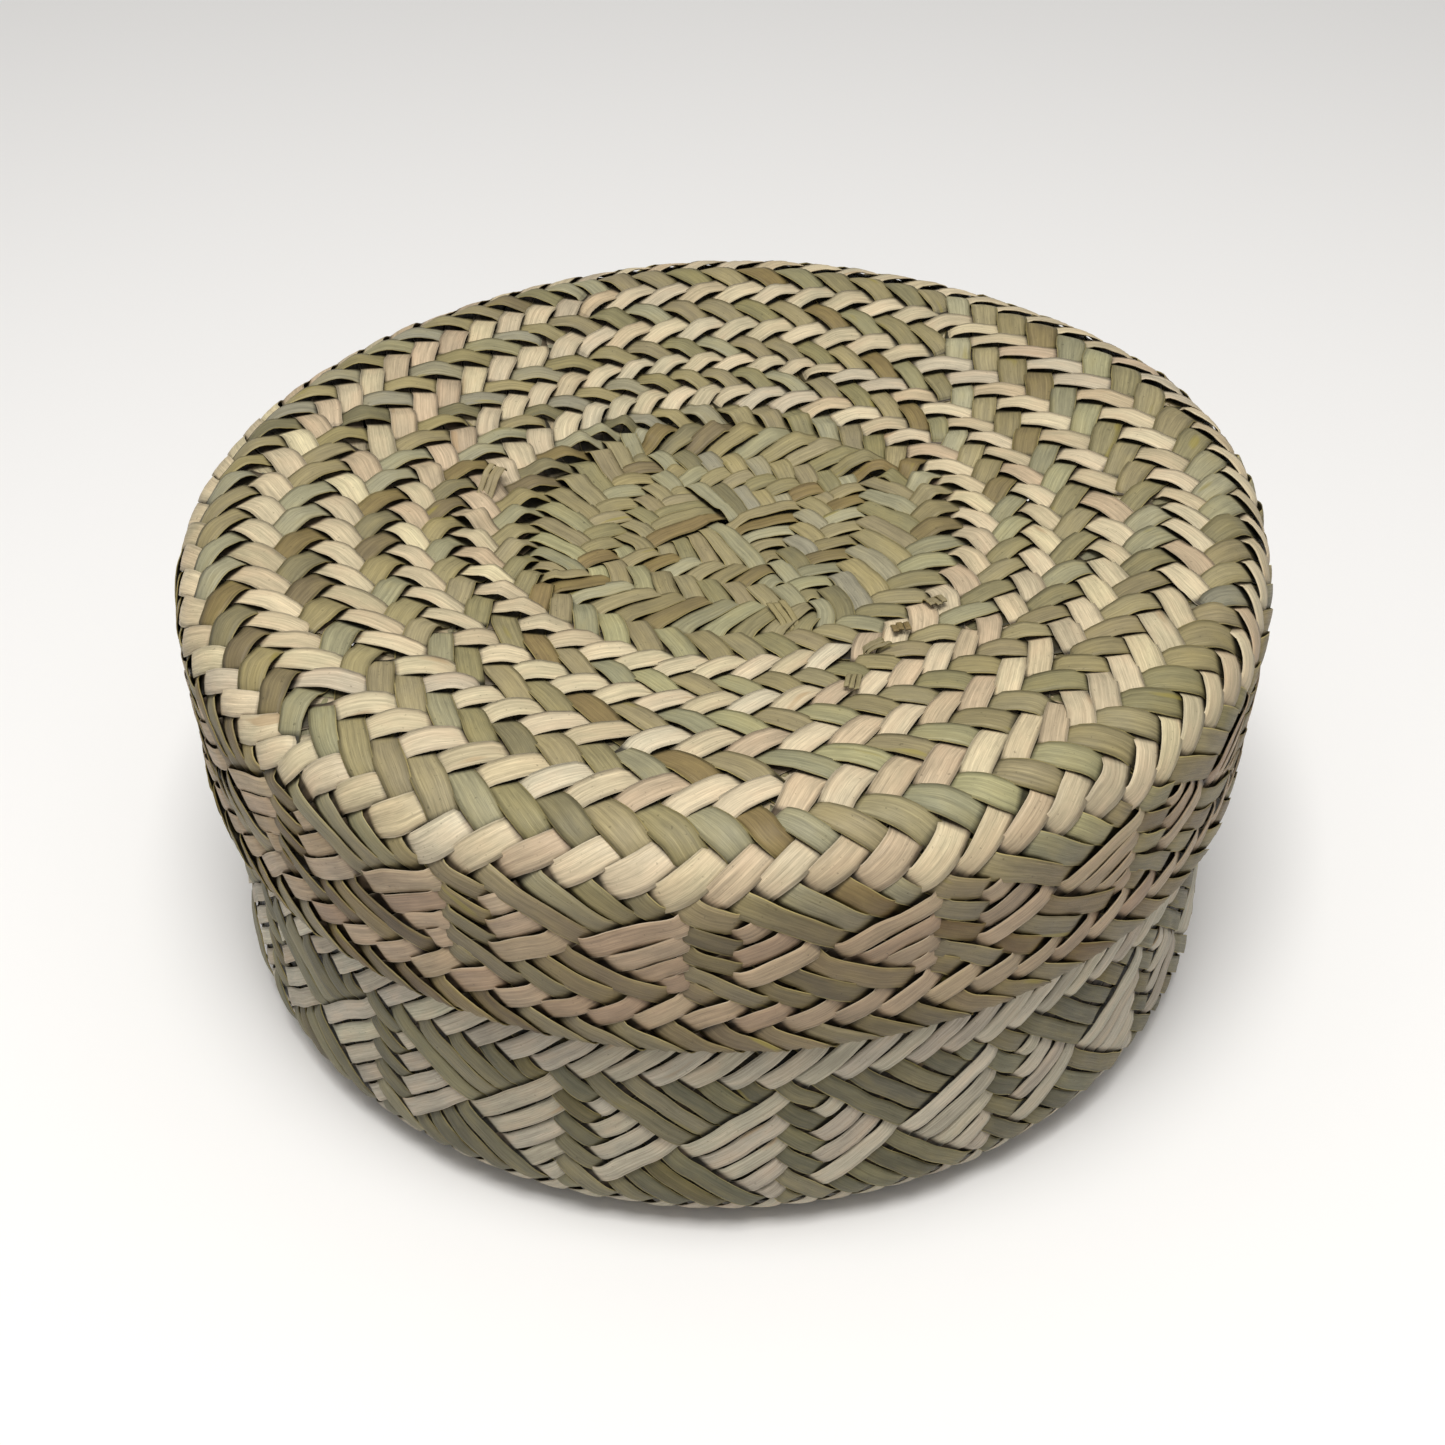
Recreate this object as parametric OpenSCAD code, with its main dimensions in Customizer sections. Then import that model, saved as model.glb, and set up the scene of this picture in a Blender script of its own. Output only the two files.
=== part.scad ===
// Round lidded storage basket, plaited from flat leaf strips in a 2/2 twill.
// Two plaited shells: a base that stands on its floor, and a deep lid that slips over it.
// Each shell is drawn in the stages in which it is plaited: centre mat, bands, turned
// corner, side wall, folded rim, and the strip ends turned back inside.
// Millimetres, +Z up. The origin is on the axis, at the bottom of the base.

/* [Whole basket] */
// Outside diameter at the lid's shoulder, the widest place
lid_d = 280; // [220:1:360]
// Height from the surface it stands on to the top of the closed lid
total_h = 125; // [105:1:180]

/* [Plaiting] */
// Thickness of the plaited wall, two crossing strips with their relief
weave_t = 2.6; // [1.8:0.1:3.2]
// Thickness of the layer of strip ends turned back inside a wall
turn_t = 1.4; // [1:0.1:1.8]
// Radius of the square-plaited mat at the centre of the lid and of the floor
mat_r = 62; // [40:1:75]

/* [Lid] */
// Depth of the dish in the top of the lid, at its centre
dish_depth = 13; // [0:0.5:18]
// Radius at which the dish meets the flat band round the top
dish_r = 110; // [80:1:118]
// Exponent of the dish curve: 2 is a parabola, and lower is steeper near the centre
dish_power = 1.6; // [1.2:0.1:2.5]
// Outer radius of the rounded shoulder
shoulder_r = 16; // [12:0.5:22]
// How far the rim of the lid is below the top of the lid
lid_drop = 58.2; // [45:0.1:80]
// How much smaller the lid's radius is at its rim than at its shoulder
lid_taper = 1.2; // [0:0.1:3]
// How far the strip ends run up inside the skirt
lid_turn_h = 25; // [12:1:34]

/* [Base] */
// Outside diameter of the base wall
base_d = 267; // [205:1:342]
// Outer radius of the rounded corner between the floor and the wall
corner_r = 17; // [8:0.5:24]
// How far the strip ends run down inside the base wall
base_turn_h = 25; // [12:1:60]

/* [Fit] */
// Gap left between the closed lid's shoulder and the rim of the base
rest_gap = 0.4; // [0.3:0.1:1]

/* [Hidden] */
$fn = 180;
arc_steps = 10;
lid_R = lid_d / 2;
base_R = base_d / 2;
rim_r = (weave_t + turn_t) / 2;       // half the thickness of a folded rim
shoulder_c = [lid_R - shoulder_r, total_h - shoulder_r];
corner_c = [base_R - corner_r, corner_r];
lid_rim_R = lid_R - lid_taper;        // outer radius of the lid at its rim
lid_fold_z = total_h - lid_drop + rim_r;
// The base rim sits as high inside the shoulder as the gap allows.
rim_reach = shoulder_r - weave_t - rest_gap - rim_r;
rim_out = base_R - rim_r - shoulder_c[0];
base_fold_z = shoulder_c[1] + sqrt(pow(rim_reach, 2) - pow(rim_out, 2));
lid_green = [0.55, 0.54, 0.42];
lid_cream = [0.86, 0.79, 0.66];
base_green = [0.45, 0.45, 0.36];
base_cream = [0.73, 0.67, 0.57];

// Points of an arc about c, from angle a to angle b.
function arc(c, r, a, b) =
    [for (i = [0:arc_steps]) let (t = a + (b - a) * i / arc_steps) c + r * [cos(t), sin(t)]];

function reversed(list) = [for (i = [len(list) - 1:-1:0]) list[i]];

// Height of the lid's upper face at radius r, inside the shoulder.
function dish_z(r) = total_h - dish_depth * (1 - pow(min(r / dish_r, 1), dish_power));

// Points of the lid's upper face between two radii, lowered by drop.
function dish(from_r, to_r, drop) =
    [for (i = [0:arc_steps])
        let (r = from_r + (to_r - from_r) * i / arc_steps) [r, dish_z(r) - drop]];

// Outer radius of the lid's skirt at height z.
function skirt_R(z) =
    lid_rim_R + lid_taper * (z - lid_fold_z) / (shoulder_c[1] - lid_fold_z);

// A plaited shell: the outer and the inner curve of its section, turned about Z.
module shell(outer, inner) {
    rotate_extrude()
        polygon(concat(outer, reversed(inner)));
}

// A sloping wall between two heights; inset is measured in from the face given by R0 and R1.
module wall(z0, z1, R0, R1, inset, t) {
    shell([[R0 - inset, z0], [R1 - inset, z1]],
          [[R0 - inset - t, z0], [R1 - inset - t, z1]]);
}

// The rounded edge where the strips fold over: up is 1 on the base and -1 on the lid.
module fold(R, z, up) {
    rotate_extrude()
        polygon(arc([R - rim_r, z], rim_r, 0, 180 * up));
}

module lid_centre_mat() {
    color(lid_green)
        shell(dish(0, mat_r, 0), dish(0, mat_r, weave_t));
}

module lid_top_bands() {
    color(lid_cream)
        shell(dish(mat_r, shoulder_c[0], 0), dish(mat_r, shoulder_c[0], weave_t));
}

module lid_shoulder() {
    color(lid_cream)
        shell(arc(shoulder_c, shoulder_r, 90, 0), arc(shoulder_c, shoulder_r - weave_t, 90, 0));
}

module lid_skirt() {
    color(lid_green)
        wall(lid_fold_z, shoulder_c[1], lid_rim_R, lid_R, 0, weave_t);
}

module lid_rim_fold() {
    color(lid_green)
        fold(lid_rim_R, lid_fold_z, -1);
}

module lid_turned_ends() {
    top = lid_fold_z + lid_turn_h;
    color(lid_cream)
        wall(lid_fold_z, top, lid_rim_R, skirt_R(top), weave_t, turn_t);
}

module base_centre_mat() {
    color(base_green)
        cylinder(r = mat_r, h = weave_t);
}

module base_floor_bands() {
    color(base_cream)
        shell([[mat_r, 0], [corner_c[0], 0]], [[mat_r, weave_t], [corner_c[0], weave_t]]);
}

module base_corner() {
    color(base_cream)
        shell(arc(corner_c, corner_r, -90, 0), arc(corner_c, corner_r - weave_t, -90, 0));
}

module base_wall() {
    color(base_green)
        wall(corner_r, base_fold_z, base_R, base_R, 0, weave_t);
}

module base_rim_fold() {
    color(base_green)
        fold(base_R, base_fold_z, 1);
}

module base_turned_ends() {
    color(base_cream)
        wall(base_fold_z - base_turn_h, base_fold_z, base_R, base_R, weave_t, turn_t);
}

lid_centre_mat();
lid_top_bands();
lid_shoulder();
lid_skirt();
lid_rim_fold();
lid_turned_ends();
base_centre_mat();
base_floor_bands();
base_corner();
base_wall();
base_rim_fold();
base_turned_ends();
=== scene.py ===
"""Looks of the lidded leaf basket: every strip is a ribbon that runs over and under in a 2/2 plait.

Each shell is laid out flat first, in millimetres. Its crossings lie in rows round the centre. Each gap
between two crossings of a row gives one crossing of the next row, and where strips are laid in, a gap
gives two. The rows are then wrapped on the section of the shell, from the centre of the top (or floor),
round the shoulder (or corner), along the side, round the folded rim and a little way back inside.
"""
import math
from types import SimpleNamespace

import bpy
import numpy as np
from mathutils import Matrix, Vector


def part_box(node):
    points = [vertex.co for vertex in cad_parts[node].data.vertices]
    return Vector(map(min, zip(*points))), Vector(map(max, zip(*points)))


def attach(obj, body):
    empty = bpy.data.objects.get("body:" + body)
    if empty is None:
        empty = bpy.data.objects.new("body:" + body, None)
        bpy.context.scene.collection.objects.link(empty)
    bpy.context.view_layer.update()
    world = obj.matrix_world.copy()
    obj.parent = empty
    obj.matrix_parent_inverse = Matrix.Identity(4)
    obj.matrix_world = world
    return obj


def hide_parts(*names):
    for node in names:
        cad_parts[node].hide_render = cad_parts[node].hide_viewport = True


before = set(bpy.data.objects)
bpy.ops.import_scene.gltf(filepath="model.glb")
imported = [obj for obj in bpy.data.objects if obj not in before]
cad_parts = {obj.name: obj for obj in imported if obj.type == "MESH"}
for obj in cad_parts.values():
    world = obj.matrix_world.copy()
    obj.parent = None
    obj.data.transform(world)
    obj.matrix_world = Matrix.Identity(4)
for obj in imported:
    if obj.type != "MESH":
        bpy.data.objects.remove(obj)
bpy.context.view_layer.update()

MM = 0.001


# ---- sizes, in millimetres

LOW, HIGH = 0, 1        # corners of a box
X, Z = 0, 2             # its axes


def cad_size(node, corner, axis):
    """Where a CAD node begins or ends."""
    return round(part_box(node)[corner][axis] / MM, 2)


TOP = cad_size("lid_shoulder", HIGH, Z)
LID_R = cad_size("lid_shoulder", HIGH, X)
SHOULDER_R = TOP - cad_size("lid_shoulder", LOW, Z)
LID_RIM_R = cad_size("lid_rim_fold", HIGH, X)
LID_FOLD_Z = cad_size("lid_rim_fold", HIGH, Z)
BASE_R = cad_size("base_wall", HIGH, X)
CORNER_R = cad_size("base_corner", HIGH, Z)
BASE_FOLD_Z = cad_size("base_rim_fold", LOW, Z)
WALL = cad_size("base_centre_mat", HIGH, Z)  # thickness of the plait
DISH_DEPTH = round(TOP - WALL - cad_size("lid_centre_mat", LOW, Z), 2)
DISH_R, DISH_POWER = 110.0, 1.6             # radius and exponent of the CAD's dish curve
INSET = WALL / 2                            # from the outer face to the middle of the plait
FOLD_R = 1.0                                # radius of the folded rim, at the middle of the strips
LID_RIM_S, BASE_RIM_S = 192.3, 244.0        # where each section turns round its rim
LID_RETURN, BASE_RETURN = 30.0, 34.0        # how far it goes on inside, past the ends of the strips


# ---- small helpers

def smooth(x, a, b):
    """0 below a, 1 above b, with an even rise between them."""
    t = np.clip((x - a) / (b - a), 0, 1)
    return t * t * (3 - 2 * t)


def unit_rows(vectors):
    return vectors / np.linalg.norm(vectors, axis=1)[:, None]


def turned(pos, angle):
    """Planar points turned by angle (radians), which may differ from point to point."""
    c, s = np.cos(angle), np.sin(angle)
    return np.stack([pos[:, 0] * c - pos[:, 1] * s, pos[:, 0] * s + pos[:, 1] * c], 1)


def softened(values):
    """The values with each one drawn towards its neighbours."""
    return np.convolve(np.r_[values[0], values, values[-1]], [0.25, 0.5, 0.25], "valid")


def linear_rgb(hex_colour):
    """The linear colour of six hexadecimal digits."""
    c = np.array([int(hex_colour[i:i + 2], 16) for i in (0, 2, 4)], float) / 255
    return np.where(c <= 0.04045, c / 12.92, ((c + 0.055) / 1.055) ** 2.4)


def rgba(hex_colour):
    return tuple(float(x) for x in linear_rgb(hex_colour)) + (1.0,)


# ---- sections of the two shells

class Section:
    """The middle of the plait as a curve (r, z) by length s, with the normal that points out of the shell:
    side is 1 where that is on the left of the curve, and -1 on its right. warp(s, angle) tells how far the
    hand-made shell has left the round one, as (dr, dz)."""

    def __init__(self, points, side, warp):
        p = np.array(points, float)
        keep = np.r_[True, np.hypot(*np.diff(p, axis=0).T) > 1e-6]
        p = p[keep]
        self.s = np.r_[0, np.cumsum(np.hypot(*np.diff(p, axis=0).T))]
        self.points, along = p, unit_rows(np.gradient(p, self.s, axis=0))
        self.normals = np.stack([-along[:, 1], along[:, 0]], 1) * side
        self.side, self.warp = side, warp

    def at(self, s):
        """Radius, height and normal of the round shell."""
        r, z = (np.interp(s, self.s, self.points[:, i]) for i in (0, 1))
        nr, nz = (np.interp(s, self.s, self.normals[:, i]) for i in (0, 1))
        k = np.hypot(nr, nz)
        return r, z, nr / k, nz / k

    def bent(self, s, angle):
        """As at(), with the shape that the hand-made shell has taken."""
        r, z, nr, nz = self.at(s)
        dr, dz = self.warp(s, angle)
        ahead, behind = self.warp(s + 0.5, angle), self.warp(s - 0.5, angle)
        tr = nz * self.side + (ahead[0] - behind[0])
        tz = -nr * self.side + (ahead[1] - behind[1])
        k = np.hypot(tr, tz)
        return r + dr, z + dz, -tz / k * self.side, tr / k * self.side


def arc_points(centre, radius, first, last, steps=24):
    angles = np.radians(np.linspace(first, last, steps + 1))
    return [(centre[0] + radius * math.cos(a), centre[1] + radius * math.sin(a)) for a in angles]


def line_points(start, end, steps):
    """Points after start, up to and with end."""
    return [(start[0] + (end[0] - start[0]) * k, start[1] + (end[1] - start[1]) * k)
            for k in np.linspace(0, 1, steps)[1:]]


def dish_points():
    """The sunk top of the lid, from its axis to where the shoulder begins."""
    points = []
    for r in np.linspace(0, LID_R - SHOULDER_R, 90):
        u = min(r / DISH_R, 1.0)
        slope = DISH_DEPTH * DISH_POWER / DISH_R * u ** (DISH_POWER - 1) if r < DISH_R else 0.0
        z = TOP - DISH_DEPTH * (1 - u ** DISH_POWER)
        k = math.hypot(1, slope)
        points.append((r + INSET * slope / k, z - INSET / k))
    return points


def rim_points(rim, turn, back):
    """The fold round a rim, through an angle, and the way back inside."""
    fold = arc_points((rim[0] - FOLD_R, rim[1]), FOLD_R, 0, turn, 12)
    inner_r = rim[0] - 2 * FOLD_R
    return fold + line_points((inner_r, rim[1]), (inner_r, rim[1] + back), 16)


def lid_section():
    shoulder = arc_points((LID_R - SHOULDER_R, TOP - SHOULDER_R), SHOULDER_R - INSET, 90, 0)
    rim = (LID_RIM_R - INSET, LID_FOLD_Z)
    skirt = line_points((LID_R - INSET, TOP - SHOULDER_R), rim, 20)
    return Section(dish_points() + shoulder + skirt + rim_points(rim, -180, LID_RETURN), 1, lid_warp)


def lid_warp(s, angle):
    """The back of the lid has sprung out and up: its shoulder is flatter and wider than the front's."""
    turn = np.mod(np.degrees(angle) + 90.0, 360.0)
    share = np.interp(turn, [75, 90, 100, 120, 150, 172, 185, 205, 230, 250, 280],
                      [0, 0.25, 0.55, 0.9, 0.95, 1.0, 0.95, 0.7, 0.45, 0.3, 0])
    dr = np.interp(s, [112, 126, 136.5, 142, 150.6, 165, 192, 240], [0, 1.2, 4.2, 7.4, 8.2, 6.0, 0, 0])
    dz = np.interp(s, [95, 112, 125.5, 136.5, 142, 150.6, 165, 192, 240],
                   [0, 1.3, 2.7, 5.8, 9.1, 12.8, 9.0, 3.0, 3.0])
    return dr * share, dz * share


def base_section():
    floor_points = [(r, INSET) for r in np.linspace(0, BASE_R - CORNER_R, 40)]
    corner = arc_points((BASE_R - CORNER_R, CORNER_R), CORNER_R - INSET, -90, 0)
    rim = (BASE_R - INSET, BASE_FOLD_Z)
    wall = line_points((BASE_R - INSET, CORNER_R), rim, 40)
    return Section(floor_points + corner + wall + rim_points(rim, 180, -BASE_RETURN), -1, base_warp)


def base_warp(s, angle):
    """The corner of the base has sagged outwards a little, all the way round."""
    return np.interp(s, [95, 118, 130, 140, 152], [0, 0.7, 1.5, 0.7, 0]) + 0 * angle, 0 * s


# ---- plans of the two shells

def odd(row):
    """Strips are laid in only where a band begins, which is at an odd row."""
    return row - 1 + row % 2


def lid_count(row):
    """Crossings in a row."""
    if row <= 11:
        return 4 * row
    return int(round(np.interp(odd(row), [14, 15.5, 19.5, 23.5, 27.5, 30], [44, 45, 52, 59, 74, 80])))


def lid_place(row):
    """How far along the section a row lies. The bands are as wide as on the real lid."""
    rows = [0, 14, 15.5, 17.5, 19.5, 21.5, 23.5, 25.5, 27.5, 29.5, 31.5, 37, 42.5, 46.5, 60]
    places = [0, 59, 66, 74.5, 82, 90.7, 99.3, 109.3, 118.5, 129, 138.1, 159.6, 179.1, LID_RIM_S, 241]
    return float(np.interp(row, rows, places))


def base_count(row):
    if row <= 12:
        return 4 * row
    return int(round(np.interp(odd(row), [14, 30], [48, 96])))


def base_place(row):
    rows = [0, 14, 15.5, 31.5, 38, 44.5, 60.5, 70]
    places = [0, 60, 66, 129.5, 153.8, 179.6, BASE_RIM_S, 279]
    return float(np.interp(row, rows, places))


LID = SimpleNamespace(
    name="lid",
    count=lid_count, place=lid_place, rows=53, lattice_seed=11,
    mat_rows=11,                # rows of the square mat in the middle
    free_rows=14,               # rows that settle freely and not at a given place
    even_row=31,                # every row from here on has the same count
    zone_top=33, steps=4,       # first row of the triangles, and rows from their edge to their tip
    tip=-10.7,                  # where a left triangle has its tip, in degrees from the front
    cream="q",                  # family that is cream outside the mat
    cream_rows={6, 7, 10, 11, 12, 15, 16, 19, 20, 23, 24, 27, 28, 31, 32, 42, 43, 48, 49, 52, 53},
    mat_turn=30.0,              # how the mat's strips lie, in degrees
    mat_shift=(1.0, 14.0),      # how far off the axis its middle is
    ring_shift=(1.0, 5.5),      # and the rows round it
    rim_s=LID_RIM_S,
    cut_row=11, splice_row=13,  # where the mat's strips hand over, in the green family and in the cream
    last_row=52, build_seed=5, sectors=4,
    arch=0.22,                  # how far each float stands up in its middle
    fill=0.985,                 # width of a strip by the room it has
    spread=0.08,                # how much wider it is where it runs under
    swing=0.6,                  # how much flatter a float lies than the strip does as a whole
    draw=0.22,                  # drawing together between two triangles
    painted_side_shade=(0.33, 0.40, 0.41),     # painted shade on the side, by colour channel
)

BASE = SimpleNamespace(
    name="base",
    count=base_count, place=base_place, rows=67, lattice_seed=23,
    mat_rows=12, free_rows=14, even_row=31, zone_top=33, steps=5, tip=-2.8, cream="p",
    cream_rows={6, 7, 10, 11, 12, 15, 16, 19, 20, 23, 24, 27, 28, 31, 32,
                44, 45, 46, 49, 50, 53, 54, 57, 58, 62, 63, 66, 67},
    mat_turn=12.0, mat_shift=(0.0, 3.0), ring_shift=(0.0, 1.0), rim_s=BASE_RIM_S,
    cut_row=11, splice_row=13, last_row=66, build_seed=9, sectors=5,
    # the base's side gets no painted shade
    arch=0.28, fill=0.82, spread=0.30, swing=0.15, draw=0.04, painted_side_shade=(0.0, 0.0, 0.0),
)


# ---- rows of crossings

SETTLING_PASSES = 1400
SIDE_PULL = 0.35      # pull of a neighbour in the same row, by that of a crossing on the same strip
NEW_PAIR = 0.33       # how far into its gap a new crossing starts, by the width of the gap
GAP_SCATTER = 0.22    # how unevenly the gaps are spread that take new strips
NONE = -1             # no crossing there
NO_COLUMN = -10 ** 6


class Lattice:
    """Rows of crossings. Family p moves counter-clockwise from row to row, family q clockwise. Each crossing
    has the numbers of its two strips, and of the crossings before and after it on both."""

    def __init__(self, plan):
        self.rows = plan.rows
        self.grow(plan)
        self.find_next_crossings()
        self.settle(plan)

    def grow(self, plan):
        """Lays row after row. A strip of the mat has two ends with different numbers, its twins."""
        rng = np.random.default_rng(plan.lattice_seed)
        # a crossing is its p strip, its q strip, its angle, and the crossings before it on p and on q
        rows = [[(i, 4 + i, 45.0 + 90.0 * i, NONE, NONE) for i in range(4)]]
        self.start = [0, 4]
        self.twin = {4 + i: (i + 1) % 4 for i in range(4)}
        self.in_mat = set(range(8))
        next_id = 8
        corners = {0, 1, 2, 3}      # gaps at the corners of the mat, which all take new strips
        for m in range(1, plan.rows):
            old, new = rows[-1], []
            here, there = self.start[-2:]
            n = len(old)
            gaps = corners if m < plan.mat_rows else open_gaps(n, plan.count(m + 1) - n, rng)
            corners = set()
            for g in range(n):
                j = (g + 1) % n
                p, a = old[g][0], old[g][2]
                q, b = old[j][1], old[j][2] + (360.0 if j == 0 else 0.0)
                if g in gaps:
                    corners.add(len(new))
                    first = there + len(new)
                    new.append((p, next_id, a + (b - a) * NEW_PAIR, here + g, first + 1))
                    new.append((next_id + 1, q, a + (b - a) * (1 - NEW_PAIR), first, here + j))
                    if m < plan.mat_rows:
                        self.twin[next_id] = next_id + 1
                        self.in_mat |= {next_id, next_id + 1}
                    next_id += 2
                else:
                    new.append((p, q, (a + b) / 2, here + g, here + j))
            rows.append(new)
            self.start.append(there + len(new))
        self.row = np.repeat(np.arange(1, plan.rows + 1), [len(row) for row in rows])
        columns = [np.array(column) for column in zip(*(crossing for row in rows for crossing in row))]
        self.p_strip, self.q_strip, angles, self.p_before, self.q_before = columns
        self.theta = np.radians(angles)

    def find_next_crossings(self):
        """A neighbour in the same row is where a strip begins, and not a crossing further in."""
        me = np.arange(len(self.row))
        self.p_after, self.q_after = np.full(len(me), NONE), np.full(len(me), NONE)
        for before, after in ((self.p_before, self.p_after), (self.q_before, self.q_after)):
            further_in = (before >= 0) & (self.row[before] < self.row)
            after[before[further_in]] = me[further_in]

    def settle(self, plan):
        """Moves the crossings until each lies midway between its neighbours. Outside the free rows they
        keep their distance from the centre."""
        left, right = np.zeros(len(self.row), int), np.zeros(len(self.row), int)
        for a, b in zip(self.start, self.start[1:]):
            left[a:b], right[a:b] = np.roll(np.arange(a, b), 1), np.roll(np.arange(a, b), -1)
        s = np.array([plan.place(m) for m in self.row], float)
        pos = np.stack([s * np.cos(self.theta), s * np.sin(self.theta)], 1)
        near = np.stack([self.p_before, self.p_after, self.q_before, self.q_after, left, right], 1)
        pull = np.array([1, 1, 1, 1, SIDE_PULL, SIDE_PULL])[None] * (near >= 0)
        pull = (pull / pull.sum(1)[:, None])[:, :, None]
        near = np.maximum(near, 0)
        fixed = (self.row > plan.free_rows)[:, None]
        for _ in range(SETTLING_PASSES):
            mean = (pos[near] * pull).sum(1)
            direction = unit_rows((unit_rows(pos)[near] * pull).sum(1))
            pos = np.where(fixed, direction * s[:, None], 0.5 * pos + 0.5 * mean)
        self.pos = pos

    def columns(self, first):
        """Column of each crossing from row first on, where every row has the same count."""
        column = np.full(len(self.row), NO_COLUMN)
        for m in range(first, self.rows + 1):
            a, b = self.start[m - 1], self.start[m]
            column[a:b] = 2 * np.arange(b - a) + (m - first) + first % 2
        return column


def open_gaps(n, extra, rng):
    """The gaps, of n in a row, that take a new pair of strips: evenly spread, and never side by side."""
    phase = rng.random()
    gaps = set()
    for j in range(extra):
        g = int((j + phase + rng.uniform(-GAP_SCATTER, GAP_SCATTER)) * n / max(extra, 1)) % n
        while g in gaps or (g + 1) % n in gaps or (g - 1) % n in gaps:
            g = (g + 1) % n
        gaps.add(g)
    return gaps


# ---- one shell, laid out

MAT_REACH = 60.0                  # where the mat's shift gives way to that of the rows round it
SHIFT_END = 134.0                 # and where no shift is left
TWIST_FROM, TWIST_TO = 20, 125    # where the turn of the side sets in, and where it is full
NARROWEST, WIDEST = 3.0, 8.5      # limits to the room for a strip


class Shell:
    """A shell of the basket: its lattice on its section, and which family is over at each crossing."""

    def __init__(self, plan, section):
        self.plan, self.section = plan, section
        self.lattice = Lattice(plan)
        self.column = self.lattice.columns(plan.even_row)
        self.period = 2 * plan.steps + 2
        self.middle = self.lattice.row == plan.zone_top + plan.steps
        self.pos = self.lattice.pos
        self.turn_mat()
        self.turn_side()
        self.shift_centre()
        self.draw_together()
        self.over = self.cream_over()

    def turn_mat(self):
        """Turns the whole plait until the strips of the mat lie as they should."""
        across = self.pos[0] - self.pos[2]
        now = math.atan2(across[1], across[0]) - math.radians(45)
        self.pos = turned(self.pos, math.radians(self.plan.mat_turn) - now)

    def turn_side(self):
        """Turns the side alone until the tips of the left triangles come where they should."""
        plan = self.plan
        facing = np.degrees(np.arctan2(self.pos[self.middle, 1], self.pos[self.middle, 0])) + 90.0
        repeat = 360.0 * self.period / 2 / self.middle.sum()
        best = None
        for first in range(plan.zone_top % 2, self.period, 2):
            tips = np.mod(self.column[self.middle] - first - plan.steps, self.period) == 0
            off = np.mod(facing[tips] - plan.tip + repeat / 2, repeat) - repeat / 2
            mean = np.exp(1j * np.radians(off * 360.0 / repeat)).mean()
            twist = math.degrees(np.angle(mean)) * repeat / 360.0
            if best is None or abs(twist) < abs(best[1]):
                best = (first, twist)
        self.first_column, twist = best
        s = np.linalg.norm(self.pos, axis=1)
        self.pos = turned(self.pos, -math.radians(twist) * smooth(s, TWIST_FROM, TWIST_TO))

    def shift_centre(self):
        """The centre was begun off the axis."""
        s = np.linalg.norm(self.pos, axis=1)
        ring_share = np.clip(s / MAT_REACH, 0, 1)[:, None]
        shift = np.array(self.plan.mat_shift)[None] * (1 - ring_share) + \
            np.array(self.plan.ring_shift)[None] * ring_share
        self.pos = self.pos + shift * (1 - smooth(s, MAT_REACH, SHIFT_END))[:, None]

    def draw_together(self):
        """The plait has drawn together where two triangles stand back to back."""
        reach, fade = 2.2, 3.5      # how many columns to each side, and how many rows past the triangles
        steps, period, row = self.plan.steps, self.period, self.lattice.row
        x = np.mod(self.column - self.first_column, period) - (2 * steps - 0.5)
        x = np.where(x < -period / 2, x + period, x)
        near = np.clip((steps + fade - np.abs(row - self.plan.zone_top - steps)) / fade, 0, 1)
        s = np.linalg.norm(self.pos, axis=1)
        pull = self.plan.draw * np.exp(-(x / reach) ** 2) * near * (s - s[self.middle].mean())
        self.pos = self.pos * (1 - pull / s)[:, None]

    def cream_over(self):
        """Whether each crossing shows the cream strip: in bands, and in a pair of triangles per period."""
        steps, zone_top, row = self.plan.steps, self.plan.zone_top, self.lattice.row
        x = np.mod(self.column - self.first_column, self.period)
        off = np.abs(row - (zone_top + steps))
        right = (x <= steps - 2) & (off <= (steps - 2) - x)
        left = (x >= steps) & (x <= 2 * steps - 1) & (off <= x - steps)
        in_zone = (row >= zone_top) & (row <= zone_top + 2 * steps)
        return np.where(in_zone, right | left, np.isin(row, list(self.plan.cream_rows)))

    def proud(self, s, angle):
        """How far a float of two crossings stands up in its middle. On the lid's top it differs from
        place to place, most of all round the mat."""
        if self.plan.name == "base":
            return np.full(len(s), self.plan.arch)
        turn = np.mod(np.degrees(angle), 360.0)
        side = np.interp(turn, [0, 60, 110, 150, 200, 240, 270, 330, 360],
                         [0.45, 0.6, 0.8, 0.9, 0.75, 0.35, 0.2, 0.3, 0.45])
        edge = np.interp(turn, [0, 20, 60, 90, 130, 180, 215, 240, 330, 360],
                         [0.5, 1.2, 1.3, 1.2, 1.6, 1.6, 0.8, 0, 0, 0.5])
        ring = np.interp(s, [45, 52, 62, 69], [0, 1, 1, 0])
        top = np.interp(s, [45, 66, 128, 145], [0.25, 1, 1, 0]) * side + ring * edge
        return self.plan.arch + top

    def metric(self, pos):
        """Distance along the section, directions outwards and round, and the radius by that distance."""
        s = np.maximum(np.linalg.norm(pos, axis=-1), 1e-6)
        outward = pos / s[..., None]
        sideways = np.stack([-outward[..., 1], outward[..., 0]], -1)
        ratio = np.where(s > 1.0, self.section.at(s)[0] / s, 1.0)
        return s, outward, sideways, ratio

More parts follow.
